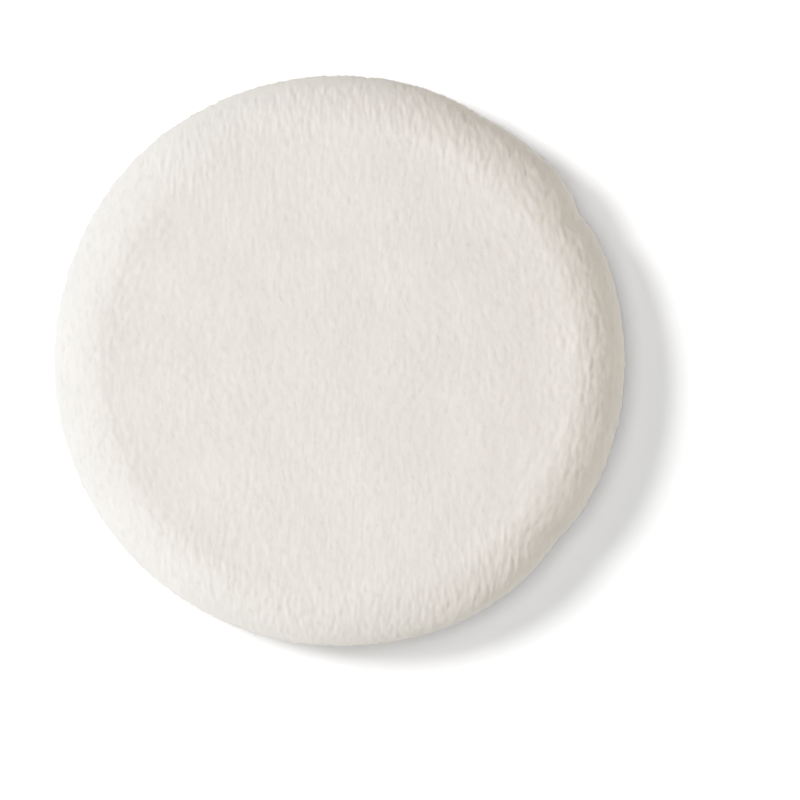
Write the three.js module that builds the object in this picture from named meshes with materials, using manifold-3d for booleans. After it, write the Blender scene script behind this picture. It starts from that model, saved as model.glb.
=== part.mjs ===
// A round velour powder puff: two discs of cloth sewn face to face, turned right side out round a foam disc
// and closed by hand, with a ribbon across the back for the fingers.
// Millimetres, +Z up. The puff lies on its back with its face up. The origin is the middle of the back.

import * as THREE from "three";
import { mergeVertices } from "three/addons/utils/BufferGeometryUtils.js";
import Module from "manifold-3d";

// The puff
const PUFF_DIAMETER = 60;
const PUFF_THICKNESS = 12;
const SEAM_HEIGHT = 6;

// The velour covers
const COVER_THICKNESS = 1.4; // knitted ground and pile together
const FACE_CROWN = 0.35; // rise of the face from its edge to its middle
const SHOULDER_WIDTH = 5.7; // from the edge of the face out to the widest line
const SHOULDER_POWER = 1.18; // 1 for a quarter of an ellipse, 2 for a straight slope
const LIP_HEIGHT = 1.1; // from the seam to the widest line
const SEAM_TUCK = 0.8; // how far the seam draws the wall in
const SEAM_GAP = 0.3; // between the two covers
const ALLOWANCE_WIDTH = 3; // cloth turned in beyond the seam's root
const ALLOWANCE_THICKNESS = 1; // the same cloth, pressed by the stitches

// The foam and the ribbon
const FIT_GAP = 0.3; // between a piece and the cloth round it
const RIBBON_WIDTH = 15;
const RIBBON_THICKNESS = 0.3;

// The stitching
const THREAD_DIAMETER = 0.3;
const THREAD_GAP = 0.15; // between a thread and what it passes
const STITCH_INSET = 1.3; // from the seam's root in to the machine stitches
const STITCH_PLACES = 48; // machine stitches that would fill the whole rim
const GAP_PLACES = 6; // places left open for turning the puff
const GAP_AZIMUTH = THREE.MathUtils.degToRad(30);
const TAIL_LENGTH = 1; // thread left beyond the first and last stitch
const HAND_STITCHES = 8;
const HAND_LOOP_DIAMETER = 1.4;

// Facets
const ROUND_STEPS = 48;
const CROWN_STEPS = 2;
const SHOULDER_STEPS = 5;
const LINING_STEPS = 3;
const TUCK_STEPS = 3;
const LOOP_STEPS = 6;
const THREAD_SIDES = 5;
const MERGE_DISTANCE = 1e-5;

const puffRadius = PUFF_DIAMETER / 2;
const faceRadius = puffRadius - SHOULDER_WIDTH;
const seamRadius = puffRadius - SEAM_TUCK;
const allowanceRadius = seamRadius - ALLOWANCE_WIDTH;
const stitchRadius = seamRadius - STITCH_INSET;
const threadRadius = THREAD_DIAMETER / 2;
const quarterTurn = Math.PI / 2;
const fullTurn = 2 * Math.PI;
const zAxis = new THREE.Vector3(0, 0, 1);

const wasm = await Module();
wasm.setup();

// A closed geometry as a solid that can be joined and cut.
function solidOf(geometry) {
  const bare = new THREE.BufferGeometry();
  bare.setAttribute("position", geometry.getAttribute("position"));
  bare.setIndex(geometry.index);
  const merged = mergeVertices(bare, MERGE_DISTANCE);
  const corners = merged.index.array;
  const triangles = [];
  for (let i = 0; i < corners.length; i += 3) {
    const [a, b, c] = corners.slice(i, i + 3);
    if (a !== b && b !== c && c !== a) triangles.push(a, b, c);
  }
  return new wasm.Manifold(
    new wasm.Mesh({
      numProp: 3,
      vertProperties: new Float32Array(merged.getAttribute("position").array),
      triVerts: new Uint32Array(triangles),
    }),
  );
}

function geometryOf(solid) {
  const mesh = solid.getMesh();
  const geometry = new THREE.BufferGeometry();
  geometry.setAttribute("position", new THREE.BufferAttribute(mesh.vertProperties, 3));
  geometry.setIndex(new THREE.BufferAttribute(mesh.triVerts, 1));
  geometry.computeVertexNormals();
  return geometry;
}

// A profile of (radius, height) points turned about the Z axis. It ends on the axis or closes on itself.
function revolved(profile) {
  const outward = THREE.ShapeUtils.area(profile) > 0 ? profile : [...profile].reverse();
  const onAxis = outward[0].x === 0 && outward.at(-1).x === 0;
  const lathe = new THREE.LatheGeometry(onAxis ? outward : [...outward, outward[0]], ROUND_STEPS);
  lathe.rotateX(quarterTurn);
  return solidOf(lathe);
}

// A ring of rectangular section, or a disc where its inner radius is 0.
function ring(innerRadius, outerRadius, bottom, top) {
  return revolved([
    new THREE.Vector2(innerRadius, bottom),
    new THREE.Vector2(outerRadius, bottom),
    new THREE.Vector2(outerRadius, top),
    new THREE.Vector2(innerRadius, top),
  ]);
}

// An open tube along a bent line, mitred at each corner and capped at both ends. Its start isn't upright.
function tube(line, radius) {
  const directions = line.slice(1).map((point, i) => point.clone().sub(line[i]).normalize());
  const aside = zAxis.clone().cross(directions[0]).normalize();
  const above = directions[0].clone().cross(aside);
  let spokes = Array.from({ length: THREAD_SIDES }, (_, i) => {
    const turn = (fullTurn * i) / THREAD_SIDES;
    const spoke = aside.clone().multiplyScalar(Math.cos(turn)).addScaledVector(above, Math.sin(turn));
    return spoke.multiplyScalar(radius);
  });
  const positions = [];
  line.forEach((point, i) => {
    const into = directions[Math.max(i - 1, 0)];
    const onward = directions[Math.min(i, directions.length - 1)];
    const mitre = into.clone().add(onward).normalize();
    spokes = spokes.map((spoke) =>
      spoke.clone().addScaledVector(into, -spoke.dot(mitre) / into.dot(mitre)),
    );
    spokes.forEach((spoke) => positions.push(...point.clone().add(spoke).toArray()));
    spokes = spokes.map((spoke) => spoke.clone().addScaledVector(onward, -spoke.dot(onward)));
  });
  const index = [];
  for (let i = 0; i < line.length - 1; i++) {
    for (let j = 0; j < THREAD_SIDES; j++) {
      const a = i * THREAD_SIDES + j;
      const b = i * THREAD_SIDES + ((j + 1) % THREAD_SIDES);
      index.push(a, b, b + THREAD_SIDES, a, b + THREAD_SIDES, a + THREAD_SIDES);
    }
  }
  const last = (line.length - 1) * THREAD_SIDES;
  for (let j = 1; j < THREAD_SIDES - 1; j++) {
    index.push(0, j + 1, j, last, last + j, last + j + 1);
  }
  const geometry = new THREE.BufferGeometry();
  geometry.setAttribute("position", new THREE.Float32BufferAttribute(positions, 3));
  geometry.setIndex(index);
  geometry.computeVertexNormals();
  return geometry;
}

// Each half of the puff has a seam face, and heights in it are counted from there towards its own face.
const frontHalf = {
  depth: PUFF_THICKNESS - SEAM_HEIGHT - SEAM_GAP / 2,
  crown: FACE_CROWN,
  height: (up) => SEAM_HEIGHT + SEAM_GAP / 2 + up,
};
const backHalf = {
  depth: SEAM_HEIGHT - SEAM_GAP / 2,
  crown: 0,
  height: (up) => SEAM_HEIGHT - SEAM_GAP / 2 - up,
};

// The face and shoulder of a half, a given way inside its outer surface, from the axis to the widest line.
function faceAndShoulder(half, inside, shoulderSteps = SHOULDER_STEPS) {
  const points = [];
  for (let i = 0; i <= CROWN_STEPS; i++) {
    const share = i / CROWN_STEPS;
    points.push([faceRadius * share, half.depth - half.crown * share ** 2 - inside]);
  }
  const rise = half.depth - half.crown - LIP_HEIGHT - inside;
  for (let i = 1; i <= shoulderSteps; i++) {
    const turn = (quarterTurn * i) / shoulderSteps;
    const out = faceRadius + (SHOULDER_WIDTH - inside) * Math.sin(turn) ** SHOULDER_POWER;
    points.push([out, LIP_HEIGHT + rise * Math.cos(turn) ** SHOULDER_POWER]);
  }
  points[points.length - 1][0] = puffRadius - inside;
  return points.map(([radius, up]) => new THREE.Vector2(radius, half.height(up)));
}

// The lip that rolls in from the widest line to the seam.
function lip(half, inside) {
  const points = [];
  for (let i = 1; i <= TUCK_STEPS; i++) {
    const turn = (quarterTurn * i) / TUCK_STEPS;
    const radius = seamRadius + (SEAM_TUCK - inside) * Math.cos(turn);
    const up = LIP_HEIGHT - (LIP_HEIGHT - inside) * Math.sin(turn);
    points.push(new THREE.Vector2(radius, half.height(up)));
  }
  return points;
}

// One cover: a cap of velour with its edge turned in as the seam allowance.
function cover(half) {
  const turnedIn = [
    new THREE.Vector2(allowanceRadius, half.height(0)),
    new THREE.Vector2(allowanceRadius, half.height(ALLOWANCE_THICKNESS)),
    new THREE.Vector2(puffRadius - COVER_THICKNESS, half.height(ALLOWANCE_THICKNESS)),
  ];
  const lining = faceAndShoulder(half, COVER_THICKNESS, LINING_STEPS).reverse();
  return revolved([...faceAndShoulder(half, 0), ...lip(half, 0), ...turnedIn, ...lining]);
}

// A half filled in from its seam face to the given way inside its outer surface.
function filledHalf(half, inside) {
  const axisEnd = new THREE.Vector2(0, half.height(inside));
  return revolved([...faceAndShoulder(half, inside), ...lip(half, inside), axisEnd]);
}

// A band of the given width round the back half, tails and all, between two ways inside its outer surface.
function ribbonBand(width, outer, inner) {
  const slab = new THREE.BoxGeometry(width, 2 * PUFF_DIAMETER, 2 * PUFF_THICKNESS);
  return filledHalf(backHalf, outer).subtract(filledHalf(backHalf, inner)).intersect(solidOf(slab));
}

// A point near a stitch: along the seam, outward from the stitch line, and at a height.
function nearStitch(azimuth, along, outward, height) {
  const point = new THREE.Vector3(stitchRadius + outward, along, height);
  return point.applyAxisAngle(zAxis, azimuth);
}

const placeAngle = fullTurn / STITCH_PLACES;
const gapAngle = GAP_PLACES * placeAngle;
const stitchAzimuths = Array.from(
  { length: STITCH_PLACES - GAP_PLACES },
  (_, i) => GAP_AZIMUTH + gapAngle / 2 + (i + 0.5) * placeAngle,
);

// The two threads hook each other in every hole, and their legs stand at the corners of a square.
const legOffset = (THREAD_DIAMETER + THREAD_GAP) / Math.SQRT2;
const holeWidth = 2 * (legOffset + threadRadius + THREAD_GAP);
const runHeight = ALLOWANCE_THICKNESS + THREAD_GAP + threadRadius;

// One thread of the lockstitch. It lies along its own cover's allowance, and in each hole it goes through
// the seam's middle, round the other thread and back.
function lockstitch(half, side) {
  const run = half.height(runHeight);
  const hook = SEAM_HEIGHT - Math.sign(run - SEAM_HEIGHT) * legOffset;
  const line = [];
  stitchAzimuths.forEach((azimuth) => {
    line.push(nearStitch(azimuth, -legOffset, side * legOffset, run));
    line.push(nearStitch(azimuth, -legOffset, side * legOffset, hook));
    line.push(nearStitch(azimuth, legOffset, -side * legOffset, hook));
    line.push(nearStitch(azimuth, legOffset, -side * legOffset, run));
  });
  const tail = legOffset + TAIL_LENGTH;
  line.unshift(nearStitch(stitchAzimuths[0], -tail, side * legOffset, run));
  line.push(nearStitch(stitchAzimuths.at(-1), tail, -side * legOffset, run));
  return tube(line, threadRadius);
}

function stitchHoles() {
  const holes = stitchAzimuths.map((azimuth) => {
    const hole = new THREE.BoxGeometry(holeWidth, holeWidth, 2 * runHeight + SEAM_GAP);
    hole.translate(stitchRadius, 0, SEAM_HEIGHT);
    hole.rotateZ(azimuth);
    return solidOf(hole);
  });
  return holes.reduce((all, hole) => all.add(hole));
}

// The hand stitches whip over the seam along the turning gap, and their ends lie inside it.
function handStitches(radius) {
  const loopRadius = HAND_LOOP_DIAMETER / 2;
  const middle = puffRadius - THREAD_DIAMETER - loopRadius;
  const steps = HAND_STITCHES * LOOP_STEPS;
  const line = Array.from({ length: steps + 1 }, (_, i) => {
    const turn = Math.PI + (fullTurn * i) / LOOP_STEPS;
    const azimuth = GAP_AZIMUTH + gapAngle * (i / steps - 0.5);
    const out = middle + loopRadius * Math.cos(turn);
    const height = SEAM_HEIGHT + loopRadius * Math.sin(turn);
    return new THREE.Vector3(out * Math.cos(azimuth), out * Math.sin(azimuth), height);
  });
  return tube(line, radius);
}

// The foam fills the covers, with a groove pressed into its edge by the allowances and their stitches.
function foam() {
  const inside = COVER_THICKNESS + FIT_GAP;
  const disc = revolved([
    ...faceAndShoulder(frontHalf, inside, LINING_STEPS),
    ...faceAndShoulder(backHalf, inside, LINING_STEPS).reverse(),
  ]);
  const reach = runHeight + threadRadius + FIT_GAP;
  const grooveRadius = allowanceRadius - FIT_GAP;
  return disc.subtract(ring(grooveRadius, puffRadius, backHalf.height(reach), frontHalf.height(reach)));
}

// The ribbon lies flush in the pile of the back, and its tails end with the allowances, inside the seam.
function ribbon() {
  const insideTails = ring(0, allowanceRadius, backHalf.height(LIP_HEIGHT), frontHalf.height(LIP_HEIGHT));
  return ribbonBand(RIBBON_WIDTH, 0, RIBBON_THICKNESS).subtract(insideTails);
}

const velour = { color: 0xe9e5dc, roughness: 0.95, metalness: 0 };
const materials = {
  frontVelour: new THREE.MeshStandardMaterial(velour),
  backVelour: new THREE.MeshStandardMaterial(velour),
  foam: new THREE.MeshStandardMaterial({ color: 0xf3ecd9, roughness: 0.9, metalness: 0 }),
  needleThread: new THREE.MeshStandardMaterial({ color: 0xefece4, roughness: 0.6, metalness: 0 }),
  bobbinThread: new THREE.MeshStandardMaterial({ color: 0xefece4, roughness: 0.6, metalness: 0 }),
  closingThread: new THREE.MeshStandardMaterial({ color: 0xe6e1d6, roughness: 0.6, metalness: 0 }),
  satin: new THREE.MeshStandardMaterial({ color: 0xf4f0e8, roughness: 0.35, metalness: 0 }),
};

const puff = new THREE.Group();

function place(name, geometry, material) {
  const mesh = new THREE.Mesh(geometry, material);
  mesh.name = name;
  puff.add(mesh);
}

const machineHoles = stitchHoles();
const handHoles = solidOf(handStitches(threadRadius + THREAD_GAP));
const ribbonBed = ribbonBand(RIBBON_WIDTH + 2 * FIT_GAP, -FIT_GAP, RIBBON_THICKNESS + FIT_GAP);
const front = cover(frontHalf).subtract(machineHoles).subtract(handHoles);
const back = cover(backHalf).subtract(machineHoles).subtract(handHoles).subtract(ribbonBed);

place("front_cover", geometryOf(front), materials.frontVelour);
place("back_cover", geometryOf(back), materials.backVelour);
place("foam_core", geometryOf(foam()), materials.foam);
place("needle_thread", lockstitch(frontHalf, 1), materials.needleThread);
place("bobbin_thread", lockstitch(backHalf, -1), materials.bobbinThread);
place("closing_thread", handStitches(threadRadius), materials.closingThread);
place("finger_ribbon", geometryOf(ribbon().subtract(machineHoles)), materials.satin);

export default puff;
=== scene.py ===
"""A round velour powder puff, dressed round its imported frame.

Two velour covers with their pile stand over a foam disc, sewn together round the rim, closed by hand at one
place, with a satin ribbon across the back for the fingers. Metres, +Z up, face up, the origin in the middle
of the back.
"""

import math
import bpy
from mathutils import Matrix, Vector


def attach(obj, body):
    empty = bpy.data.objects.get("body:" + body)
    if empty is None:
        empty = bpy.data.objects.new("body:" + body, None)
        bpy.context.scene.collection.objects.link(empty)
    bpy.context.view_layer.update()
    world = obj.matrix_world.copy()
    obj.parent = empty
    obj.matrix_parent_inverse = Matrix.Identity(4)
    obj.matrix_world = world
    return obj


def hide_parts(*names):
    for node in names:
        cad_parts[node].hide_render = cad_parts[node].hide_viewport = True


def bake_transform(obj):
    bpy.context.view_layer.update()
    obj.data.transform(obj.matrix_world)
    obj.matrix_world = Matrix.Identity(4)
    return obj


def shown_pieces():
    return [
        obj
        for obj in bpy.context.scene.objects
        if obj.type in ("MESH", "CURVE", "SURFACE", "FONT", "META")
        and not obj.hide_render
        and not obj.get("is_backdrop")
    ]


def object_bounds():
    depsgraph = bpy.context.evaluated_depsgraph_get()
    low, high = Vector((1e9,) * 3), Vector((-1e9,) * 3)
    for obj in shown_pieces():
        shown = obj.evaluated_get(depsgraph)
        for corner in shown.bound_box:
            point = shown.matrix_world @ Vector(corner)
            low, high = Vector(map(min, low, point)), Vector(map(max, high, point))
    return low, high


bl_info = {
    "name": "Powder puff",
    "version": (1, 0, 0),
    "blender": (4, 5, 0),
    "location": "3D View > Sidebar > Puff",
    "description": "Builds a velour powder puff, piece by piece, round its packed frame",
    "category": "Object",
}

import bpy
import numpy as np
from mathutils import Vector
from mathutils.kdtree import KDTree

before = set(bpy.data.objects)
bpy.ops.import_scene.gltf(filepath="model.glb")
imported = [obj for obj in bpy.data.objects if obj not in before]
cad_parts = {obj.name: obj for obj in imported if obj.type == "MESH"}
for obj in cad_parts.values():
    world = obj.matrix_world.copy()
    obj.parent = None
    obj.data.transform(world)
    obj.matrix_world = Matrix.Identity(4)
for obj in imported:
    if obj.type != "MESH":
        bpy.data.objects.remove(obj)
CAD_BOX = [list(corner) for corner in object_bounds()]

MM = 0.001
FULL_TURN = 2 * math.pi
QUARTER_TURN = math.pi / 2


def linear(hex_colour):
    """An sRGB hex colour such as "#ffffff" as linear red, green, blue and alpha."""
    parts = [int(hex_colour[i : i + 2], 16) / 255 for i in (1, 3, 5)]
    return (*[p / 12.92 if p <= 0.04045 else ((p + 0.055) / 1.055) ** 2.4 for p in parts], 1.0)


def smoothstep(low, high, value):
    share = np.clip((np.asarray(value, float) - low) / (high - low), 0, 1)
    return share * share * (3 - 2 * share)


class PuffSizes(bpy.types.PropertyGroup):
    """The puff's main sizes"""

    diameter: bpy.props.FloatProperty(
        name="Diameter",
        description="Across the widest line of the puff",
        default=CAD_BOX[1][0] - CAD_BOX[0][0],
        unit="LENGTH",
    )
    thickness: bpy.props.FloatProperty(
        name="Thickness",
        description="From the back to the top of the face",
        default=CAD_BOX[1][2] - CAD_BOX[0][2],
        unit="LENGTH",
    )
    crown: bpy.props.FloatProperty(
        name="Crown",
        description="Rise of the face from its edge to its middle",
        default=0.35 * MM,
        unit="LENGTH",
    )
    shoulder: bpy.props.FloatProperty(
        name="Shoulder",
        description="From the edge of the face out to the widest line",
        default=5.7 * MM,
        unit="LENGTH",
    )
    lip: bpy.props.FloatProperty(
        name="Lip",
        description="From the seam up or down to the widest line",
        default=1.25 * MM,
        unit="LENGTH",
    )
    tuck: bpy.props.FloatProperty(
        name="Tuck",
        description="How far the seam draws the wall in",
        default=0.8 * MM,
        unit="LENGTH",
    )
    pile: bpy.props.FloatProperty(
        name="Pile",
        description="Height of the pile over the knitted ground",
        default=0.35 * MM,
        unit="LENGTH",
    )
    wale: bpy.props.FloatProperty(
        name="Wale",
        description="Spacing of the knit's columns",
        default=0.87 * MM,
        unit="LENGTH",
    )
    course: bpy.props.FloatProperty(
        name="Course",
        description="Spacing of the knit's rows",
        default=0.6 * MM,
        unit="LENGTH",
    )
    ribbon_width: bpy.props.FloatProperty(
        name="Ribbon width",
        description="Width of the finger ribbon",
        default=15 * MM,
        unit="LENGTH",
    )
    ribbon_thickness: bpy.props.FloatProperty(
        name="Ribbon thickness",
        description="Thickness of the finger ribbon",
        default=0.3 * MM,
        unit="LENGTH",
    )


class PuffColours(bpy.types.PropertyGroup):
    """The puff's colours"""

    velour: bpy.props.FloatVectorProperty(
        name="Velour",
        description="Tips of the pile",
        subtype="COLOR",
        default=linear("#efece6")[:3],
    )
    # Painted shade: the foot of the pile gets this darker, warmer colour for the shade deep in the pile.
    velour_root_shade: bpy.props.FloatVectorProperty(
        name="Velour root",
        description="Foot of the pile and the ground",
        subtype="COLOR",
        default=linear("#e9e4d9")[:3],
    )
    foam: bpy.props.FloatVectorProperty(
        name="Foam",
        description="The foam disc",
        subtype="COLOR",
        default=linear("#f3ecd9")[:3],
    )
    thread: bpy.props.FloatVectorProperty(
        name="Sewing thread",
        description="The machine stitching",
        subtype="COLOR",
        default=linear("#efece4")[:3],
    )
    hand_thread: bpy.props.FloatVectorProperty(
        name="Hand thread",
        description="The stitches that close the turning gap",
        subtype="COLOR",
        default=linear("#e6e1d6")[:3],
    )
    ribbon: bpy.props.FloatVectorProperty(
        name="Ribbon",
        description="The satin ribbon",
        subtype="COLOR",
        default=linear("#f4f0e8")[:3],
    )
    floor: bpy.props.FloatVectorProperty(
        name="Floor",
        description="The floor under the puff",
        subtype="COLOR",
        default=linear("#fafafa")[:3],
    )


def node(tree, kind, inputs=None, **settings):
    """Adds a node with its settings, its inputs set to values or linked from other nodes' sockets."""
    made = tree.nodes.new(kind)
    for name, value in settings.items():
        setattr(made, name, value)
    for name, value in (inputs or {}).items():
        if isinstance(value, bpy.types.NodeSocket):
            tree.links.new(value, made.inputs[name])
        else:
            made.inputs[name].default_value = value
    return made


def new_material(name):
    """An empty node material with its shader and output joined."""
    material = bpy.data.materials.new(name)
    material.use_nodes = True
    tree = material.node_tree
    tree.nodes.clear()
    shader = node(tree, "ShaderNodeBsdfPrincipled")
    node(tree, "ShaderNodeOutputMaterial", {"Surface": shader.outputs["BSDF"]})
    return material, tree, shader


PATCH_SIZE = 7 * MM
PATCH_LIGHT = (0.975, 1.015)
TUFT_LIGHT = (0.985, 1.01)


def velour_material(name, colours):
    """Cotton velour: loops of yarn cut and brushed flat one way. Matt and chalky, with painted shade: darker
    and warmer at the foot of the pile than at its tips; faintly mottled where the nap was stroked."""
    material, tree, shader = new_material(name)
    place = node(tree, "ShaderNodeTexCoord").outputs["Object"]
    reach = node(tree, "ShaderNodeAttribute", attribute_name="reach").outputs["Fac"]
    shade = node(tree, "ShaderNodeAttribute", attribute_name="shade").outputs["Fac"]
    patches = node(tree, "ShaderNodeTexNoise", {"Vector": place, "Scale": 1 / PATCH_SIZE, "Detail": 2.0})
    light = node(
        tree,
        "ShaderNodeMapRange",
        {
            "Value": patches.outputs["Fac"],
            "From Min": 0.3,
            "From Max": 0.7,
            "To Min": PATCH_LIGHT[0],
            "To Max": PATCH_LIGHT[1],
        },
    )
    each = node(
        tree, "ShaderNodeMapRange", {"Value": shade, "To Min": TUFT_LIGHT[0], "To Max": TUFT_LIGHT[1]}
    )
    both = node(
        tree,
        "ShaderNodeMath",
        {0: light.outputs["Result"], 1: each.outputs["Result"]},
        operation="MULTIPLY",
    )
    # Painted shade: by the reach value the colour runs from the darker, warmer root colour at the foot of the
    # pile to the tip colour.
    # The mix node keeps one pair of sockets per data type, so the colour pair is set by place.
    yarn = node(
        tree,
        "ShaderNodeMix",
        {"Factor": reach, 6: (*colours.velour_root_shade, 1.0), 7: (*colours.velour, 1.0)},
        data_type="RGBA",
    )
    tinted = node(
        tree, "ShaderNodeVectorMath", {0: yarn.outputs[2], "Scale": both.outputs[0]}, operation="SCALE"
    )
    tree.links.new(tinted.outputs[0], shader.inputs["Base Color"])
    shader.inputs["Roughness"].default_value = 1.0
    shader.inputs["Specular IOR Level"].default_value = 0.1
    shader.inputs["Sheen Weight"].default_value = 0.02
    shader.inputs["Sheen Roughness"].default_value = 0.5
    return material


GRAIN_LIGHT = (0.92, 1.05)
GRAIN_DEPTH = 0.1 * MM


def plain_material(name, colour, roughness, grain):
    """A soft matt material whose colour and surface vary with a grain of the given size."""
    material, tree, shader = new_material(name)
    place = node(tree, "ShaderNodeTexCoord").outputs["Object"]
    noise = node(tree, "ShaderNodeTexNoise", {"Vector": place, "Scale": 1 / grain, "Detail": 3.0})
    amount = node(
        tree,
        "ShaderNodeMapRange",
        {"Value": noise.outputs["Fac"], "To Min": GRAIN_LIGHT[0], "To Max": GRAIN_LIGHT[1]},
    )
    tinted = node(
        tree, "ShaderNodeVectorMath", {0: tuple(colour), "Scale": amount.outputs["Result"]}, operation="SCALE"
    )
    tree.links.new(tinted.outputs[0], shader.inputs["Base Color"])
    bump = node(
        tree, "ShaderNodeBump", {"Height": noise.outputs["Fac"], "Strength": 0.4, "Distance": GRAIN_DEPTH}
    )
    tree.links.new(bump.outputs["Normal"], shader.inputs["Normal"])
    shader.inputs["Roughness"].default_value = roughness
    return material


FLOAT_WIDTH = 0.25 * MM
FLOAT_LENGTH = 4 * MM
FLOAT_DEPTH = 0.03 * MM
FLOAT_LIGHT = (0.95, 1.03)
FLOAT_ROUGHNESS = (0.3, 0.45)


def satin_material(name, colour):
    """Woven satin: long warp floats that lie side by side along the ribbon. Smooth, with a soft shine drawn
    out across the floats."""
    material, tree, shader = new_material(name)
    place = node(tree, "ShaderNodeTexCoord").outputs["Object"]
    stretch = (1 / FLOAT_WIDTH, 1 / FLOAT_LENGTH, 1 / FLOAT_LENGTH)
    stretched = node(tree, "ShaderNodeMapping", {"Vector": place, "Scale": stretch})
    floats = node(
        tree,
        "ShaderNodeTexNoise",
        {"Vector": stretched.outputs["Vector"], "Scale": 1.0, "Detail": 2.0},
    )
    amount = node(
        tree,
        "ShaderNodeMapRange",
        {"Value": floats.outputs["Fac"], "To Min": FLOAT_LIGHT[0], "To Max": FLOAT_LIGHT[1]},
    )
    tinted = node(
        tree, "ShaderNodeVectorMath", {0: tuple(colour), "Scale": amount.outputs["Result"]}, operation="SCALE"
    )
    tree.links.new(tinted.outputs[0], shader.inputs["Base Color"])
    gloss = node(
        tree,
        "ShaderNodeMapRange",
        {"Value": floats.outputs["Fac"], "To Min": FLOAT_ROUGHNESS[0], "To Max": FLOAT_ROUGHNESS[1]},
    )
    tree.links.new(gloss.outputs["Result"], shader.inputs["Roughness"])
    bump = node(
        tree, "ShaderNodeBump", {"Height": floats.outputs["Fac"], "Strength": 0.3, "Distance": FLOAT_DEPTH}
    )
    tree.links.new(bump.outputs["Normal"], shader.inputs["Normal"])
    shader.inputs["Anisotropic"].default_value = 0.6
    shader.inputs["Sheen Weight"].default_value = 0.1
    return material


def points_of(piece):
    flat = np.empty(len(piece.data.vertices) * 3)
    piece.data.vertices.foreach_get("co", flat)
    return flat.reshape(-1, 3)


def set_points(piece, points):
    piece.data.vertices.foreach_set("co", np.ascontiguousarray(points, float).ravel())
    piece.data.update()


def keep_values(mesh, label, values):
    """Stores one number per corner for the material to read."""
    attribute = mesh.attributes.new(label, "FLOAT", "POINT")
    attribute.data.foreach_set("value", np.asarray(values, np.float32))


def select_only(piece):
    for other in bpy.context.selected_objects:
        other.select_set(False)
    piece.select_set(True)
    bpy.context.view_layer.objects.active = piece


# The shoulder lies between a quarter of an ellipse (1) and a straight slope (2).
SHOULDER_POWER = 1.18
OUTLINE_STEPS = 60


def outline_of(sizes, inside, face_crown, swell_up=0.0, fullness=0.0):
    """Way, radius and height over the seam along one cover, from the middle of the face to the seam, lying
    inside the outer surface by the given depth. The face starts low by what the cloth has still to swell, and
    the wall is fuller by what the nap there stands out."""
    outer = sizes.diameter / 2 + fullness
    depth = sizes.thickness / 2
    face = sizes.diameter / 2 - sizes.shoulder
    share = np.linspace(0, 1, OUTLINE_STEPS)
    turn = share[1:] * QUARTER_TURN
    rise = depth - face_crown - sizes.lip - inside
    root = outer - sizes.tuck - inside / 2
    radius = [
        face * share,
        face + (outer - face - inside) * np.sin(turn) ** SHOULDER_POWER,
        root + (outer - inside - root) * np.cos(turn),
    ]
    up = [
        depth - swell_up * (1 - share**2) - face_crown * share**2 - inside,
        sizes.lip + rise * np.abs(np.cos(turn)) ** SHOULDER_POWER,
        sizes.lip * (1 - np.sin(turn)),
    ]
    radius, up = np.concatenate(radius), np.concatenate(up)
    way = np.concatenate([[0], np.cumsum(np.hypot(np.diff(radius), np.diff(up)))])
    return way, radius, up


RIBBON_TUCK = 0.35 * MM
TUCK_START = 22 * MM
TUCK_END = 28 * MM


def ribbon_tuck(out):
    """How far the ribbon is drawn into the wall, by distance from the middle: its ends lie deeper than the
    pile."""
    return RIBBON_TUCK * smoothstep(TUCK_START, TUCK_END, out)


# Small faults of the rim, as azimuth in degrees, half width in degrees and outward reach: the hand-closed
# place pinches beside a bulge, two places are flatter, and the upper left and the lower edge are a little full.
RIM_FAULTS = (
    (42, 4.5, 0.25 * MM),
    (31, 3.0, -0.38 * MM),
    (60, 5.0, -0.25 * MM),
    (132, 18, 0.2 * MM),
    (-63, 14, 0.22 * MM),
    (-40, 6.0, -0.35 * MM),
)


def rim_fault(azimuth):
    """How far the wall stands out from a true circle."""
    total = np.zeros_like(azimuth)
    for middle, spread, reach in RIM_FAULTS:
        turn = (np.degrees(azimuth) - middle + 180) % 360 - 180
        total += reach * np.exp(-((turn / spread) ** 2))
    return total


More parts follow.
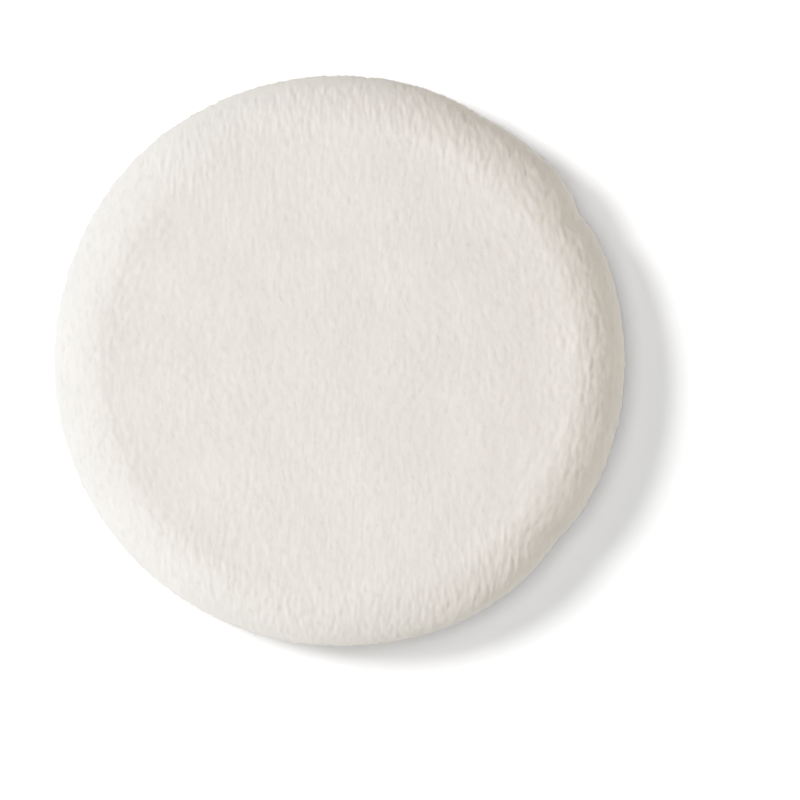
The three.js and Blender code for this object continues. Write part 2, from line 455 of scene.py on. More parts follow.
class Bag:
    """The sewn bag of knitted ground cloth: front and back covers joined at the seam. Points on it are named
    by a direction on a ball, whose upper half is the front cover and whose equator is the seam."""

    CELLS = 40
    SIM_SCALE = 10
    SWELL_UP = 0.15 * MM
    FULLNESS = 0.15 * MM
    CAP = 0.6 * MM
    WALL_STIFFNESS = 0.92
    WALL_START = 0.4
    WALL_END = 0.75
    HELD_HEIGHT = 0.02
    PRESSED_START = 0.1 * MM
    PRESSED_END = 0.6 * MM
    FRAMES = 20
    NEIGHBOURS = 12

    def __init__(self, sizes):
        self.sizes = sizes
        self.seam = sizes.thickness / 2
        self.front = outline_of(sizes, sizes.pile, sizes.crown, self.SWELL_UP, self.FULLNESS)
        self.back = outline_of(sizes, sizes.pile, 0.0, 0.0, self.FULLNESS)
        way, out, up = outline_of(sizes, sizes.pile + sizes.ribbon_thickness, 0.0, 0.0, self.FULLNESS)
        self.bed = way, out - ribbon_tuck(out), up
        self.shift = None
        self.tree = None

    def still(self, directions):
        """Where the points lie before the cloth settles."""
        turn = np.arccos(np.clip(directions[:, 2], -1, 1)) / QUARTER_TURN
        azimuth = np.arctan2(directions[:, 1], directions[:, 0])
        front = turn <= 1
        radius, height = np.empty(len(turn)), np.empty(len(turn))
        for side, share, sign, (way, out, up) in (
            (front, turn, 1, self.front),
            (~front, 2 - turn, -1, self.back),
        ):
            along = share[side] * way[-1]
            radius[side] = np.interp(along, way, out)
            height[side] = self.seam + sign * np.interp(along, way, up)
        way, out, up = self.bed
        sunk = self.under_ribbon(radius * np.cos(azimuth))[~front]
        along = (2 - turn[~front]) * way[-1]
        radius[~front] += sunk * (np.interp(along, way, out) - radius[~front])
        height[~front] += sunk * (self.seam - np.interp(along, way, up) - height[~front])
        rim = self.sizes.diameter / 2
        near_rim = smoothstep(rim - self.sizes.shoulder, rim - self.sizes.pile, radius)
        radius = radius + rim_fault(azimuth) * near_rim
        return np.column_stack([radius * np.cos(azimuth), radius * np.sin(azimuth), height])

    def under_ribbon(self, across):
        """1 where the ribbon presses the back in, 0 beside it."""
        half = self.sizes.ribbon_width / 2
        return 1 - smoothstep(half + self.PRESSED_START, half + self.PRESSED_END, np.abs(across))

    def settle(self, ball, directions):
        """Lets the cloth of the bag swell over its filling, held at the seam, and keeps how far each point
        moved."""
        start = self.still(directions)
        self.tree = KDTree(len(directions))
        for i, direction in enumerate(directions):
            self.tree.insert(direction, i)
        self.tree.balance()
        set_points(ball, start * self.SIM_SCALE)
        held = ball.vertex_groups.new(name="seam")
        at_seam = np.flatnonzero(np.abs(directions[:, 2]) < self.HELD_HEIGHT)
        held.add([int(i) for i in at_seam], 1.0, "REPLACE")
        cloth = ball.modifiers.new("cloth", "CLOTH")
        cloth.settings.mass = 0.02
        cloth.settings.tension_stiffness = 15
        cloth.settings.compression_stiffness = 7.5
        cloth.settings.shear_stiffness = 5
        cloth.settings.bending_stiffness = 0.3
        cloth.settings.air_damping = 6
        cloth.settings.vertex_group_mass = held.name
        cloth.settings.shrink_min = -0.01
        cloth.settings.shrink_max = -0.01
        cloth.settings.use_pressure = True
        cloth.settings.uniform_pressure_force = 0.1
        cloth.settings.effector_weights.gravity = 0
        cloth.collision_settings.use_collision = False
        cloth.point_cache.frame_start = 1
        cloth.point_cache.frame_end = self.FRAMES
        for step in range(1, self.FRAMES + 1):
            bpy.context.scene.frame_set(step)
        select_only(ball)
        bpy.ops.object.modifier_apply(modifier=cloth.name)
        bpy.context.scene.frame_set(1)
        moved = points_of(ball) / self.SIM_SCALE - start
        # The table holds the back flat.
        back = directions[:, 2] < 0
        moved[back, 2] = np.maximum(moved[back, 2], 0)
        # The seam allowances stiffen the wall, so it puckers less than the face.
        on_wall = 1 - smoothstep(self.WALL_START, self.WALL_END, np.abs(directions[:, 2]))
        moved *= 1 - self.WALL_STIFFNESS * on_wall[:, None]
        length = np.linalg.norm(moved, axis=1, keepdims=True)
        self.shift = moved * np.minimum(1, self.CAP / np.maximum(length, 1e-12))

    def at(self, directions):
        """Where the points lie once the cloth has settled."""
        near = [self.tree.find_n(direction, self.NEIGHBOURS) for direction in directions]
        index = np.array([[place for _, place, _ in row] for row in near])
        gap = np.array([[distance for _, _, distance in row] for row in near])
        weight = np.exp(-0.5 * (gap * self.CELLS / QUARTER_TURN) ** 2)
        weight /= weight.sum(axis=1, keepdims=True)
        return self.still(directions) + np.einsum("ij,ijk->ik", weight, self.shift[index])


def ball_directions(ball):
    """The directions of a cube's grid points, spread evenly over a ball."""
    grid = np.tan(points_of(ball) * math.pi / 4)
    return grid / np.linalg.norm(grid, axis=1, keepdims=True)


def add_ball(name, cells):
    """A cube whose sides are cut into an even number of cells each way, to be made a ball."""
    bpy.ops.object.select_all(action="DESELECT")
    bpy.ops.mesh.primitive_cube_add(size=2)
    ball = bpy.context.active_object
    ball.name = ball.data.name = name
    bpy.ops.object.mode_set(mode="EDIT")
    # One subdivide makes at most 100 cuts, so the last halving is its own.
    bpy.ops.mesh.subdivide(number_cuts=cells // 2 - 1)
    bpy.ops.mesh.subdivide(number_cuts=1)
    bpy.ops.object.mode_set(mode="OBJECT")
    return ball


bag_kept = {}


def bag():
    """The settled bag, made once."""
    if not bag_kept:
        made = Bag(bpy.context.scene.puff_sizes)
        ball = add_ball("bag", Bag.CELLS)
        made.settle(ball, ball_directions(ball))
        bpy.data.objects.remove(ball)
        bag_kept["bag"] = made
    return bag_kept["bag"]


def flat_place(directions, reach):
    """Where points lie on the cloth while it is still flat: across the knit's columns and along them."""
    turn = np.arccos(np.clip(np.abs(directions[:, 2]), 0, 1)) / QUARTER_TURN
    azimuth = np.arctan2(directions[:, 1], directions[:, 0])
    return reach * turn * np.cos(azimuth), reach * turn * np.sin(azimuth)


RELIEF_STEP = 0.075 * MM
RELIEF_PLACES = 1024
STROKE_WIDTH = 0.135 * MM
STROKE_LENGTH = 0.29 * MM


def stroke_relief(seed):
    """Heights of the brushed nap over a square of flat cloth, from about -1 to 1: short soft strokes that lie
    along the knit's columns."""
    random = np.random.default_rng(seed)
    speckle = np.fft.fft2(random.normal(0, 1, (RELIEF_PLACES, RELIEF_PLACES)))
    rate = np.fft.fftfreq(RELIEF_PLACES, RELIEF_STEP) * FULL_TURN
    soft = np.exp(-0.5 * ((rate[None, :] * STROKE_WIDTH) ** 2 + (rate[:, None] * STROKE_LENGTH) ** 2))
    strokes = np.real(np.fft.ifft2(speckle * soft))
    return strokes / strokes.std() * 0.5


def relief_at(relief, x, y):
    """The relief between its places, over flat cloth."""
    half = RELIEF_PLACES / 2
    column = np.clip(x / RELIEF_STEP + half, 0, RELIEF_PLACES - 2)
    row = np.clip(y / RELIEF_STEP + half, 0, RELIEF_PLACES - 2)
    left, low = column.astype(int), row.astype(int)
    right, up = column - left, row - low
    return (relief[low, left] * (1 - right) + relief[low, left + 1] * right) * (1 - up) + (
        relief[low + 1, left] * (1 - right) + relief[low + 1, left + 1] * right
    ) * up


def normals_of(piece):
    flat = np.empty(len(piece.data.vertices) * 3)
    piece.data.vertices.foreach_get("normal", flat)
    return flat.reshape(-1, 3)


SKIN_COLUMNS = 428
SKIN_ROWS = 206
RELIEF_HEIGHT = 0.08 * MM
RELIEF_SHADE = 0.34
SHOULDER_START = (21.0 * MM, 25.5 * MM)
SHOULDER_END = (28.0 * MM, 31.0 * MM)
NAP_OPENED = 0.75
NAP_CLOSED = 0.4
SEAM_GAP = 0.15 * MM
SEAM_FADE = 0.03
ALLOWANCE_REACH = 26.4 * MM
ALLOWANCE_HEIGHT = 0.7 * MM
# Radius and height over the seam of the lining, in millimetres.
LINING_RINGS = ((28.0, 0.75), (28.0, 1.9), (26.8, 3.3), (24.5, 4.35), (12.0, 4.6))


def disc_directions(square, side):
    """The square's points as directions on half a ball: squares round the middle become circles, and the
    square's edge becomes the seam."""
    a, b = square[:, 0], square[:, 1]
    wide = np.abs(a) >= np.abs(b)
    longer = np.where(wide, a, b)
    longer = np.where(np.abs(longer) < 1e-9, 1e-9, longer)
    swing = math.pi / 4 * np.where(wide, b, a) / longer
    azimuth = np.where(wide, swing, QUARTER_TURN - swing) + math.pi * (longer < 0)
    turn = np.abs(longer) * QUARTER_TURN
    level = np.sin(turn)
    return np.column_stack([level * np.cos(azimuth), level * np.sin(azimuth), side * np.cos(turn)])


def keep_bake_map(mesh, places):
    """Gives the mesh a map of its own for baking, one place per face corner."""
    mesh.uv_layers.new(name="OFBake").data.foreach_set("uv", np.asarray(places, np.float32).ravel())


def corner_points(mesh):
    """The point that each face corner stands on."""
    index = np.empty(len(mesh.loops), np.int32)
    mesh.loops.foreach_get("vertex_index", index)
    return index


def extruded_ring(seam, side, out, up):
    """Extrudes the selected edge loop to a new share of its radius and a new height, counted from the seam
    towards the cover's face."""
    bpy.ops.mesh.extrude_edges_move()
    bpy.ops.transform.resize(value=(out, out, 0), center_override=(0, 0, seam + side * up))


# Values of the skin for its material: how far up the pile it counts, which sets how much of the painted shade
# of the pile's foot it takes, and its tone among the tufts' random tones.
SKIN_PAINTED_SHADE_REACH = 0.8
SKIN_SHADE = 0.5
# Places on the skin's map for baking, as shares of its side.
MAP_DISC = 0.48
MAP_LINING = 0.08
MAP_LINING_SIDE = 0.12


def cover_skin(name, front, seed):
    """The velour ground of one cover: its half of the bag with the nap's strokes in relief, the seam
    allowance turned in, and a plain lining face."""
    sizes = bpy.context.scene.puff_sizes
    cloth = bag()
    side = 1 if front else -1
    bpy.ops.object.select_all(action="DESELECT")
    bpy.ops.mesh.primitive_grid_add(x_subdivisions=SKIN_COLUMNS, y_subdivisions=SKIN_ROWS, size=2)
    skin = bpy.context.active_object
    skin.name = skin.data.name = name
    directions = disc_directions(points_of(skin), side)
    outer, outer_corners = len(skin.data.vertices), len(skin.data.loops)
    if not front:
        skin.data.flip_normals()
    points = cloth.at(directions)
    at_seam = np.abs(directions[:, 2]) < 1e-4
    points[:, 2] = cloth.seam + side * np.maximum(side * (points[:, 2] - cloth.seam), SEAM_GAP)
    set_points(skin, points)
    smooth = normals_of(skin)
    if smooth[np.argmax(points[:, 2] * side), 2] * side < 0:
        raise RuntimeError(name + " faces inwards")
    reach = (cloth.front if front else cloth.back)[0][-1]
    across, along = flat_place(directions, reach)
    relief = relief_at(stroke_relief(seed), across, along)
    relief *= smoothstep(0, SEAM_FADE, np.abs(directions[:, 2]))
    set_points(skin, points + smooth * (RELIEF_HEIGHT * relief)[:, None])
    # The nap opens where the cloth bends over the shoulder and lies close on the wall.
    bend = np.hypot(across, along)
    opened = smoothstep(*SHOULDER_START, bend) * (1 - smoothstep(*SHOULDER_END, bend))
    closed = smoothstep(*SHOULDER_END, bend)
    share = RELIEF_SHADE * (1 + NAP_OPENED * opened - NAP_CLOSED * closed)
    shaded = smooth + share[:, None] * (normals_of(skin) - smooth)

    root = float(np.hypot(*points[at_seam, :2].T).mean())
    bpy.ops.object.mode_set(mode="EDIT")
    bpy.ops.mesh.select_mode(type="EDGE")
    bpy.ops.mesh.select_all(action="DESELECT")
    bpy.ops.mesh.select_non_manifold()
    extruded_ring(cloth.seam, side, ALLOWANCE_REACH / root, SEAM_GAP)
    extruded_ring(cloth.seam, side, 1.0, ALLOWANCE_HEIGHT)
    last = ALLOWANCE_REACH
    for out, up in LINING_RINGS:
        extruded_ring(cloth.seam, side, out * MM / last, up * MM)
        last = out * MM
    bpy.ops.mesh.extrude_edges_move()
    bpy.ops.mesh.merge(type="CENTER")
    bpy.ops.object.mode_set(mode="OBJECT")
    select_only(skin)
    bpy.ops.object.shade_smooth()
    shaded = np.vstack([shaded, normals_of(skin)[outer:]])
    skin.data.normals_split_custom_set_from_vertices(shaded.tolist())
    # Painted shade: the ground under the pile takes part of the darker root colour.
    keep_values(skin.data, "reach", np.full(len(skin.data.vertices), SKIN_PAINTED_SHADE_REACH))
    keep_values(skin.data, "shade", np.full(len(skin.data.vertices), SKIN_SHADE))
    # The outside lies on the map as a disc, and the hidden lining small in a corner.
    stands_on = corner_points(skin.data)
    places = MAP_LINING + points_of(skin)[stands_on, :2] / sizes.diameter * MAP_LINING_SIDE
    spread = np.column_stack([across, along])[stands_on[:outer_corners]]
    places[:outer_corners] = 0.5 + spread / reach * MAP_DISC
    keep_bake_map(skin.data, places)
    return skin


# One fibre of the pile: three corners at its foot, as shares of its width across the nap and along it, and a
# tip. Drawn at cotton's own width, but far fewer than the cloth has.
FIBRE_FOOT = ((-0.5, -0.3), (0.5, -0.3), (0.0, 0.6))
FIBRE_FACES = ((0, 2, 1), (0, 1, 3), (1, 2, 3), (2, 0, 3))
FIBRE_MAP = ((0.2, 0.2), (0.8, 0.2), (0.5, 0.35), (0.5, 0.8))
FIBRES_PER_TUFT = 4
FIBRE_WIDTH = 0.009 * MM
TIP_GATHER = 0.5
TIP_SPREAD = 0.06
NAP_LEAN = 0.8 * MM
NAP_DRIFT = 0.04 * MM
# Scatter of the tufts, as shares of the knit's columns and rows.
TUFT_SCATTER = (0.2, 0.25)
CLOTH_SHARE = 0.995
SLOPE_STEP = 0.2 * MM
SEAM_REACH = 2.2 * MM
CRUSHED_AT_SEAM = 0.5
CRUSHED_UNDER_RIBBON = 0.7
# The fibres are shaded nearly as the cloth under them is, because light evens out among them.
CLOTH_SHADE = 0.95


def pile(name, front, seed):
    """The pile of one cover: tufts on the knit's columns and rows, each a few fibres whose tips gather, all
    stroked the same way and crushed under the ribbon."""
    sizes = bpy.context.scene.puff_sizes
    cloth = bag()
    random = np.random.default_rng(seed)
    reach = (cloth.front if front else cloth.back)[0][-1]
    columns = np.arange(-math.ceil(reach / sizes.wale), math.ceil(reach / sizes.wale) + 1)
    rows = np.arange(-math.ceil(reach / sizes.course), math.ceil(reach / sizes.course) + 1)
    across, along = np.meshgrid(columns, rows)
    tuft_x = (across * sizes.wale).ravel()
    tuft_y = ((along + 0.5 * (across % 2)) * sizes.course).ravel()
    tuft_x = tuft_x + random.normal(0, TUFT_SCATTER[0] * sizes.wale, tuft_x.size)
    tuft_y = tuft_y + random.normal(0, TUFT_SCATTER[1] * sizes.course, tuft_y.size)
    kept = np.hypot(tuft_x, tuft_y) < reach * CLOTH_SHARE
    tuft_x, tuft_y = tuft_x[kept], tuft_y[kept]
    tufts = tuft_x.size

    def on_cloth(x, y):
        turn = np.minimum(np.hypot(x, y) / reach, 1) * QUARTER_TURN
        azimuth = np.arctan2(y, x)
        rise = np.cos(turn) * (1 if front else -1)
        level = np.sin(turn)
        return cloth.at(np.column_stack([level * np.cos(azimuth), level * np.sin(azimuth), rise]))

    middle = on_cloth(tuft_x, tuft_y)
    to_x = on_cloth(tuft_x + SLOPE_STEP, tuft_y) - on_cloth(tuft_x - SLOPE_STEP, tuft_y)
    to_y = on_cloth(tuft_x, tuft_y + SLOPE_STEP) - on_cloth(tuft_x, tuft_y - SLOPE_STEP)
    outward = np.cross(to_x, to_y) * (1 if front else -1)
    outward /= np.linalg.norm(outward, axis=1, keepdims=True)
    side = np.cross(-to_y, outward)
    side /= np.linalg.norm(side, axis=1, keepdims=True)
    nap = np.cross(outward, side)

    at_seam = smoothstep(reach - SEAM_REACH, reach, np.hypot(tuft_x, tuft_y))
    lean = NAP_LEAN * random.normal(1, 0.15, tufts)
    drift = NAP_DRIFT * random.normal(0, 1, tufts)
    height = sizes.pile * random.normal(0.97, 0.05, tufts) * (1 - CRUSHED_AT_SEAM * at_seam)
    if not front:
        height *= 1 - CRUSHED_UNDER_RIBBON * cloth.under_ribbon(middle[:, 0])

    count = tufts * FIBRES_PER_TUFT
    of_tuft = np.repeat(np.arange(tufts), FIBRES_PER_TUFT)
    spread = random.uniform(-0.5, 0.5, (count, 2)) * (sizes.wale, sizes.course)
    stray = random.normal(0, TIP_SPREAD, (count, 2)) * (sizes.wale, sizes.course)
    gather = spread * TIP_GATHER + stray
    up, over, beside = outward[of_tuft], nap[of_tuft], side[of_tuft]
    root = middle[of_tuft] + beside * spread[:, :1] + over * spread[:, 1:]
    tip = (
        middle[of_tuft]
        + beside * (gather[:, 0] + drift[of_tuft])[:, None]
        + over * (gather[:, 1] + lean[of_tuft])[:, None]
        + up * (height[of_tuft] * random.uniform(0.88, 1.0, count))[:, None]
    )
    width = FIBRE_WIDTH * random.uniform(0.8, 1.25, count)
    points = np.empty((count, 4, 3))
    for corner, (wide, long) in enumerate(FIBRE_FOOT):
        points[:, corner] = root + beside * (wide * width)[:, None] + over * (long * width)[:, None]
    points[:, 3] = tip
    if not front:
        points[:, :, 2] = np.maximum(points[:, :, 2], 0.0)
    faces = np.array(FIBRE_FACES)[None] + (np.arange(count) * 4)[:, None, None]
    mesh = bpy.data.meshes.new(name)
    mesh.from_pydata(points.reshape(-1, 3).tolist(), [], faces.reshape(-1, 3).tolist())
    piece = bpy.data.objects.new(name, mesh)
    bpy.context.scene.collection.objects.link(piece)
    mesh.update()
    mesh.polygons.foreach_set("use_smooth", np.ones(len(mesh.polygons), bool))
    # Painted shade: each fibre is darker and warmer at its foot than at its tip.
    keep_values(mesh, "reach", np.tile([0.8, 0.8, 0.8, 1.0], count))
    keep_values(mesh, "shade", np.repeat(random.uniform(0, 1, tufts), FIBRES_PER_TUFT * 4))
    soft = CLOTH_SHADE * np.repeat(up, 4, axis=0) + (1 - CLOTH_SHADE) * normals_of(piece)
    soft /= np.linalg.norm(soft, axis=1, keepdims=True)
    mesh.normals_split_custom_set_from_vertices(soft.tolist())
    # On the map for baking each fibre has a cell of its own.
    cells = math.ceil(math.sqrt(count))
    fibre = np.arange(count)
    cell = np.column_stack([fibre % cells, fibre // cells])
    places = (cell[:, None] + np.array(FIBRE_MAP)[None]) / cells
    keep_bake_map(mesh, places.reshape(-1, 2)[corner_points(mesh)])
    return piece


FOAM_CELLS = 80
FOAM_DEPTH = 1.7 * MM
GROOVE_RADIUS = 25.9 * MM
GROOVE_REACH = 1.75 * MM
GROOVE_FADE = 0.25 * MM
CELL_DEPTH = 0.16 * MM


def foam_disc(name):
    """The foam disc: fills the covers, with a groove pressed into its edge by the seam allowances, its skin
    open with small cells."""
    sizes = bpy.context.scene.puff_sizes
    disc = add_ball(name, FOAM_CELLS)
    directions = ball_directions(disc)
    turn = np.arccos(np.clip(directions[:, 2], -1, 1)) / QUARTER_TURN
    azimuth = np.arctan2(directions[:, 1], directions[:, 0])
    seam = sizes.thickness / 2
    radius, height = np.empty(len(turn)), np.empty(len(turn))
    for side, share, sign, crown in ((turn <= 1, turn, 1, sizes.crown), (turn > 1, 2 - turn, -1, 0.0)):
        way, out, up = outline_of(sizes, FOAM_DEPTH, crown)
        radius[side] = np.interp(share[side] * way[-1], way, out)
        height[side] = sign * np.interp(share[side] * way[-1], way, up)
    pressed = 1 - smoothstep(GROOVE_REACH, GROOVE_REACH + GROOVE_FADE, np.abs(height))
    radius -= pressed * np.maximum(radius - GROOVE_RADIUS, 0)
    points = np.column_stack([radius * np.cos(azimuth), radius * np.sin(azimuth), seam + height])
    set_points(disc, points)
    random = np.random.default_rng(31)
    cells = random.uniform(0, 1, len(points)) ** 3
    set_points(disc, points - normals_of(disc) * (CELL_DEPTH * cells)[:, None])
    select_only(disc)
    bpy.ops.object.shade_smooth()
    return disc


HAND_STITCHES = 8
STITCH_STEPS = 40
STITCH_LOOP = 0.65 * MM
STITCH_MIDDLE = 28.85 * MM
GAP_START, GAP_END = math.radians(7.5), math.radians(52.5)
PLY_RADIUS = 0.075 * MM
PLY_OFFSET = 0.07 * MM
PLY_TWIST = 0.9 * MM


def hand_stitches(name):
    """The closing thread: two plies twisted round each other, whipped over the seam along the turning gap."""
    seam = bpy.context.scene.puff_sizes.thickness / 2
    share = np.linspace(0, 1, HAND_STITCHES * STITCH_STEPS + 1)
    turn = math.pi + FULL_TURN * HAND_STITCHES * share
    azimuth = GAP_START + (GAP_END - GAP_START) * share
    out = np.column_stack([np.cos(azimuth), np.sin(azimuth), np.zeros_like(share)])
    above = np.array([0.0, 0.0, 1.0])
    spoke = out * np.cos(turn)[:, None] + above * np.sin(turn)[:, None]
    middle = STITCH_MIDDLE + np.minimum(rim_fault(azimuth), 0)
    route = out * middle[:, None] + above * seam + spoke * STITCH_LOOP
    ahead = np.gradient(route, axis=0)
    ahead /= np.linalg.norm(ahead, axis=1, keepdims=True)
    aside = np.cross(ahead, spoke)
    length = np.concatenate([[0], np.cumsum(np.linalg.norm(np.diff(route, axis=0), axis=1))])
    line = bpy.data.curves.new(name, "CURVE")
    line.dimensions = "3D"
    line.bevel_depth = PLY_RADIUS
    line.bevel_resolution = 1
    line.use_fill_caps = True
    for ply in (0, 1):
        twist = FULL_TURN * length / PLY_TWIST + ply * math.pi
        places = route + PLY_OFFSET * (spoke * np.cos(twist)[:, None] + aside * np.sin(twist)[:, None])
        strand = line.splines.new("POLY")
        strand.points.add(len(places) - 1)
        strand.points.foreach_set("co", np.column_stack([places, np.ones(len(places))]).ravel())
    thread = bpy.data.objects.new(name, line)
    bpy.context.scene.collection.objects.link(thread)
    select_only(thread)
    bpy.ops.object.convert(target="MESH")
    thread = bpy.context.active_object
    thread.name = thread.data.name = name
    bpy.ops.object.shade_smooth()
    return thread


TAIL_END = 26.5 * MM
TAIL_LIFT = 0.13 * MM


def ribbon_way(sizes):
    """The ribbon's outer side from the middle of the back to the end of its tail in the seam: way, distance
    out from the middle and height."""
    way, out, up = outline_of(sizes, 0.0, 0.0)
    out = np.concatenate([out - ribbon_tuck(out), [TAIL_END]])
    height = np.concatenate([sizes.thickness / 2 - up, [0]])
    height[-2:] = sizes.thickness / 2 + TAIL_LIFT
    return np.concatenate([[0], np.cumsum(np.hypot(np.diff(out), np.diff(height)))]), out, height


RIBBON_COLUMNS = 44
RIBBON_ROWS = 150
# The woven edges, as shares of the ribbon's width from its middle line.
EDGE_START = 0.455
EDGE_END = 0.475
EDGE_RISE = 0.04 * MM
# Where the ribbon takes on the round of the wall, by distance from the middle.
ROUND_START = 15 * MM
ROUND_END = 24 * MM
# Where the seam holds the ribbon, by the way along it.
HELD_START = (26 * MM, 32 * MM)
HELD_END = (34 * MM, 35.5 * MM)
PUCKER = 0.07 * MM
RIPPLE = 0.02 * MM
RIPPLE_LENGTH = 9 * MM
RIPPLE_START = 6 * MM


def ribbon_half(name, end):
    """Half of the finger ribbon, from the middle of the back to the tail in the seam at the +Y or -Y end. The
    woven edges are a little thicker, and small puckers stand where the seam holds it."""
    sizes = bpy.context.scene.puff_sizes
    bpy.ops.object.select_all(action="DESELECT")
    bpy.ops.mesh.primitive_grid_add(x_subdivisions=RIBBON_COLUMNS, y_subdivisions=RIBBON_ROWS, size=1)
    half = bpy.context.active_object
    half.name = half.data.name = name
    grid = points_of(half)
    x = grid[:, 0] * sizes.ribbon_width
    way, out, height = ribbon_way(sizes)
    along = (grid[:, 1] + 0.5) * way[-1]
    y, z = np.interp(along, way, out), np.interp(along, way, height)
    y -= (y - np.sqrt(np.maximum(y**2 - x**2, 0))) * smoothstep(ROUND_START, ROUND_END, y)
    set_points(half, np.column_stack([x, y * end, z]))
    if normals_of(half)[0, 2] > 0:
        half.data.flip_normals()
    select_only(half)
    bpy.ops.object.shade_smooth()
    across = grid[:, 0]
    edge = smoothstep(EDGE_START, EDGE_END, np.abs(across))
    held = smoothstep(*HELD_START, along) * (1 - smoothstep(*HELD_END, along))
    waves = np.sin(FULL_TURN * across * 5.3 + end) + 0.6 * np.sin(FULL_TURN * across * 8.7)
    ripple = RIPPLE * np.sin(FULL_TURN * along / RIPPLE_LENGTH + across * 3)
    ripple *= smoothstep(0, RIPPLE_START, along) * (1 - held)
    lift = EDGE_RISE * (edge - 1) + held * PUCKER * waves * (1 - edge) + np.minimum(ripple, 0)
    points = points_of(half) + normals_of(half) * lift[:, None]
    points[:, 2] = np.maximum(points[:, 2], 0.0)
    set_points(half, points)
    wall = half.modifiers.new("cloth", "SOLIDIFY")
    wall.thickness = sizes.ribbon_thickness - EDGE_RISE
    wall.offset = -1
    bpy.ops.object.modifier_apply(modifier=wall.name)
    bpy.ops.object.shade_smooth_by_angle(angle=math.radians(40))
    return half, way[-1]


class PUFF_OT_front_cover(bpy.types.Operator):
    """Make the front velour cover and its pile"""

    bl_idname = "puff.front_cover"
    bl_label = "Front cover"

    def execute(self, context):
        material = velour_material("Cotton velour front", context.scene.puff_colours)
        skin = cover_skin("front_velour", True, 21)
        nap = pile("front_pile", True, 11)
        for piece in (skin, nap):
            piece.data.materials.append(material)
            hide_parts("front_cover")
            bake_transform(piece)
        return {"FINISHED"}


class PUFF_OT_back_cover(bpy.types.Operator):
    """Make the back velour cover and its pile"""

    bl_idname = "puff.back_cover"
    bl_label = "Back cover"

    def execute(self, context):
        material = velour_material("Cotton velour back", context.scene.puff_colours)
        skin = cover_skin("back_velour", False, 22)
        nap = pile("back_pile", False, 12)
        for piece in (skin, nap):
            piece.data.materials.append(material)
            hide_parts("back_cover")
            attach(piece, "back_half")
        return {"FINISHED"}


class PUFF_OT_foam(bpy.types.Operator):
    """Make the foam disc inside the covers"""

    bl_idname = "puff.foam"
    bl_label = "Foam"

    def execute(self, context):
        # Slabstock polyurethane foam, cut to a disc: matt, open cells, a warm white that yellows a little.
        disc = foam_disc("foam_disc")
        colour = context.scene.puff_colours.foam
        disc.data.materials.append(plain_material("Polyurethane foam", colour, 0.9, 0.7 * MM))
        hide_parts("foam_core")
        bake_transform(disc)
        return {"FINISHED"}


class PUFF_OT_threads(bpy.types.Operator):
    """Finish the machine stitches and make the hand stitches"""

    bl_idname = "puff.threads"
    bl_label = "Threads"

    def execute(self, context):
        colours = context.scene.puff_colours
        # Spun polyester: short fibres twisted tight, matt with a faint gloss on the twist.
        machine = plain_material("Spun polyester thread", colours.thread, 0.6, 0.2 * MM)
        for name in ("needle_thread", "bobbin_thread"):
            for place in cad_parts[name].material_slots:
                place.material = machine
        # Cotton, two plies twisted: matt with a fine grain; each ply lies in shade where it turns under the
        # other.
        stitches = hand_stitches("closing_stitches")
        twisted = plain_material("Twisted cotton thread", colours.hand_thread, 0.8, 0.15 * MM)
        stitches.data.materials.append(twisted)
        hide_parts("closing_thread")
        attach(stitches, "back_half")
        return {"FINISHED"}


class PUFF_OT_ribbon(bpy.types.Operator):
    """Make the finger ribbon across the back"""

    bl_idname = "puff.ribbon"
    bl_label = "Ribbon"

    def execute(self, context):
        satin = satin_material("Polyester satin", context.scene.puff_colours.ribbon)
        for name, end in (("ribbon_up", 1), ("ribbon_down", -1)):
            half, length = ribbon_half(name, end)
            half.data.materials.append(satin)
            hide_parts("finger_ribbon")
            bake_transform(half)
        return {"FINISHED"}


FLOOR_SIDE = 3.0
WORLD_STRENGTH = 0.2
LAMP_DISTANCE = 1.1
# Each soft box: name, what it lights, power, tone, width, and azimuth and height in degrees.
LAMPS = (
    ("key", "puff", 9.1, "#f3f7ff", 0.25, 180, 40),
    ("near fill", "puff", 3.7, "#fff7ec", 0.9, 300, 45),
    ("far fill", "puff", 2.7, "#fff1e0", 0.9, 60, 45),
    ("table key", "floor", 7.2, "#ffffff", 0.3, 157, 52),
    ("table top light", "floor", 5.6, "#ffffff", 0.6, 158, 88),
)
LENS = 212.0
SENSOR_WIDTH = 36.0
CAMERA_PLACE = (6.33 * MM, -4.1 * MM, 0.5)


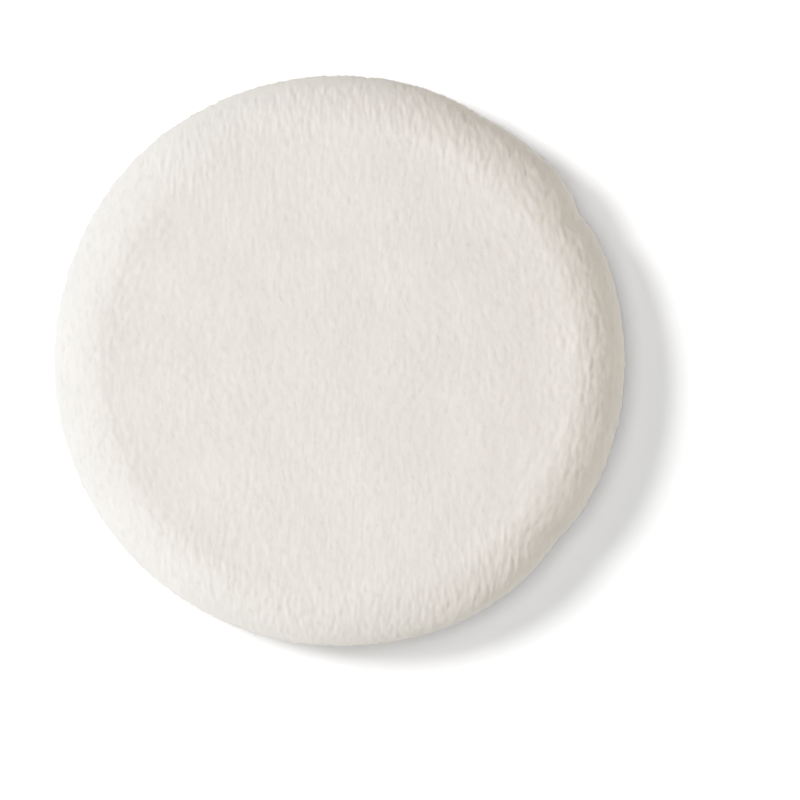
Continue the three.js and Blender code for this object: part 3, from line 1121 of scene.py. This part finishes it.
class PUFF_OT_stage(bpy.types.Operator):
    """Make the floor, the light and the camera"""

    bl_idname = "puff.stage"
    bl_label = "Stage"

    def execute(self, context):
        scene = context.scene
        colours = scene.puff_colours
        bpy.ops.object.select_all(action="DESELECT")
        bpy.ops.mesh.primitive_plane_add(size=FLOOR_SIDE)
        floor = context.active_object
        floor.name = "floor"
        material, tree, shader = new_material("Matt white board")
        shader.inputs["Base Color"].default_value = (*colours.floor, 1.0)
        shader.inputs["Roughness"].default_value = 1.0
        shader.inputs["Specular IOR Level"].default_value = 0.0
        floor.data.materials.append(material)
        floor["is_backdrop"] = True
        world = bpy.data.worlds.new("studio")
        scene.world = world
        world.use_nodes = True
        background = world.node_tree.nodes["Background"]
        background.inputs["Color"].default_value = linear("#ffffff")
        background.inputs["Strength"].default_value = WORLD_STRENGTH
        # As a photographer flags a lamp off the table, each soft box lights the puff or the table alone.
        lit = {"puff": bpy.data.collections.new("lit puff"), "floor": bpy.data.collections.new("lit floor")}
        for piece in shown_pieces():
            lit["puff"].objects.link(piece)
        lit["floor"].objects.link(floor)
        for name, lights, power, tone, across, azimuth, rise in LAMPS:
            light = bpy.data.lights.new(name, "AREA")
            light.shape = "DISK"
            light.size = across
            light.energy = power
            light.color = linear(tone)[:3]
            lamp = bpy.data.objects.new(name, light)
            scene.collection.objects.link(lamp)
            turn, up = math.radians(azimuth), math.radians(rise)
            way = Vector((math.cos(turn) * math.cos(up), math.sin(turn) * math.cos(up), math.sin(up)))
            lamp.location = way * LAMP_DISTANCE
            lamp.rotation_euler = (-way).to_track_quat("-Z", "Y").to_euler()
            lamp.visible_camera = False
            lamp.light_linking.receiver_collection = lit[lights]
        lens = bpy.data.cameras.new("camera")
        lens.lens = LENS
        lens.sensor_width = SENSOR_WIDTH
        camera = bpy.data.objects.new("camera", lens)
        scene.collection.objects.link(camera)
        camera.location = CAMERA_PLACE
        scene.camera = camera
        scene.view_settings.view_transform = "Standard"
        return {"FINISHED"}


class PUFF_PT_panel(bpy.types.Panel):
    """The puff's pieces, in the order in which they are made"""

    bl_label = "Powder puff"
    bl_idname = "PUFF_PT_panel"
    bl_space_type = "VIEW_3D"
    bl_region_type = "UI"
    bl_category = "Puff"

    def draw(self, context):
        for group in (context.scene.puff_sizes, context.scene.puff_colours):
            for name in group.__annotations__:
                self.layout.prop(group, name)
        for operator in OPERATORS:
            self.layout.operator(operator.bl_idname)


OPERATORS = (
    PUFF_OT_front_cover,
    PUFF_OT_back_cover,
    PUFF_OT_foam,
    PUFF_OT_threads,
    PUFF_OT_ribbon,
    PUFF_OT_stage,
)
CLASSES = (PuffSizes, PuffColours, *OPERATORS, PUFF_PT_panel)


def register():
    for kind in CLASSES:
        bpy.utils.register_class(kind)
    bpy.types.Scene.puff_sizes = bpy.props.PointerProperty(type=PuffSizes)
    bpy.types.Scene.puff_colours = bpy.props.PointerProperty(type=PuffColours)


def unregister():
    del bpy.types.Scene.puff_colours
    del bpy.types.Scene.puff_sizes
    for kind in reversed(CLASSES):
        bpy.utils.unregister_class(kind)


def main():
    register()
    bpy.ops.puff.front_cover()
    bpy.ops.puff.back_cover()
    bpy.ops.puff.foam()
    bpy.ops.puff.threads()
    bpy.ops.puff.ribbon()
    bpy.ops.puff.stage()


if __name__ == "__main__":
    main()
